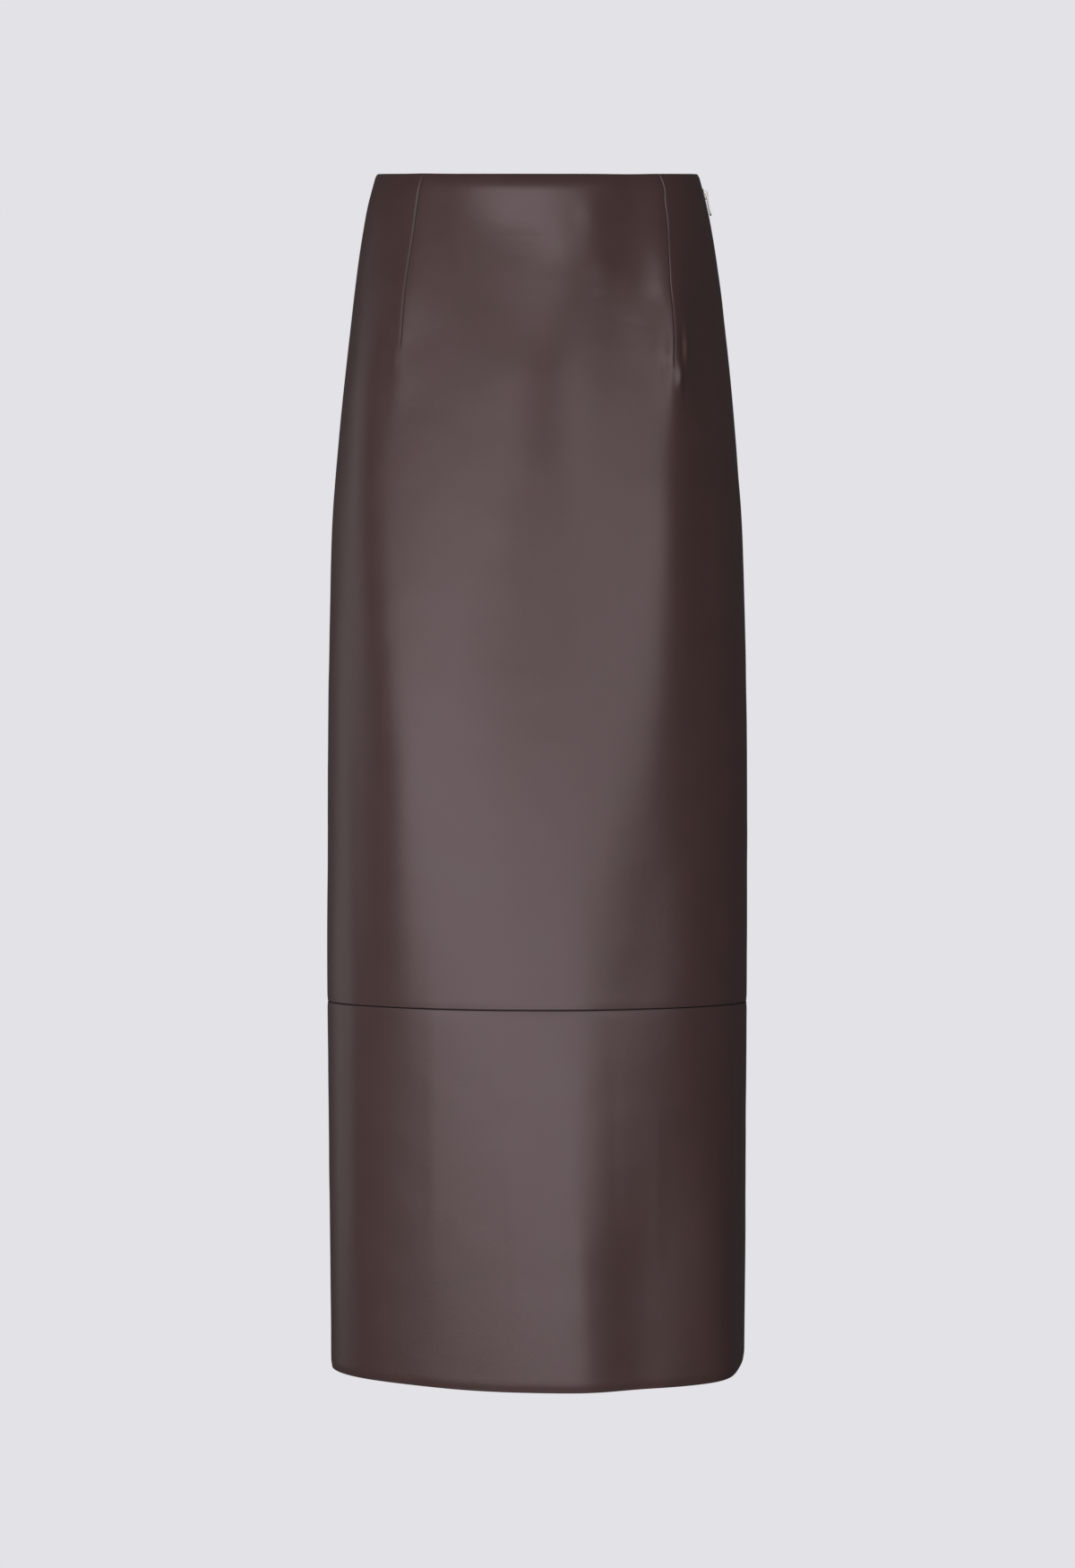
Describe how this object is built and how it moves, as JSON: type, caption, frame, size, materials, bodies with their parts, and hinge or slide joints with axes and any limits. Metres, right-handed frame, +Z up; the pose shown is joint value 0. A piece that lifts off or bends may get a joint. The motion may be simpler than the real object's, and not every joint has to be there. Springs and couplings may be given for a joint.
{
  "type": "leather skirt",
  "caption": "Long straight leather skirt, filled out as worn, with front darts, a seam above the hem, a side zip and a walking slit at the back.",
  "frame": {"origin": "centre of the waist opening, level with the tops of the side seams, where the wearer's waist holds the skirt up", "axes": "+Z up towards the waist, -Y towards the front, +X towards the wearer's left side, which has the zip"},
  "size_m": [0.3344, 0.2517, 0.948],
  "materials": {
    "nappa_leather": "smooth satin",
    "woven_zip_tape": "matt woven",
    "nickel_plated_zinc": "satin nickel plate"
  },
  "bodies": {
    "skirt": {"front_panel": "nappa_leather", "back_panel": "nappa_leather", "front_lower_panel": "nappa_leather", "back_lower_left": "nappa_leather", "back_lower_right": "nappa_leather", "zip_tape": "woven_zip_tape", "zip_slider": "nickel_plated_zinc"},
    "pull": {"zip_pull": "nickel_plated_zinc"}
  },
  "joints": [
    {"name": "pull_hinge", "type": "hinge", "parent": "skirt", "child": "pull", "pos_m": [0.13433, 0, -0.01449], "axis": [0, -1, 0], "range_deg": [0, 150]}
  ]
}
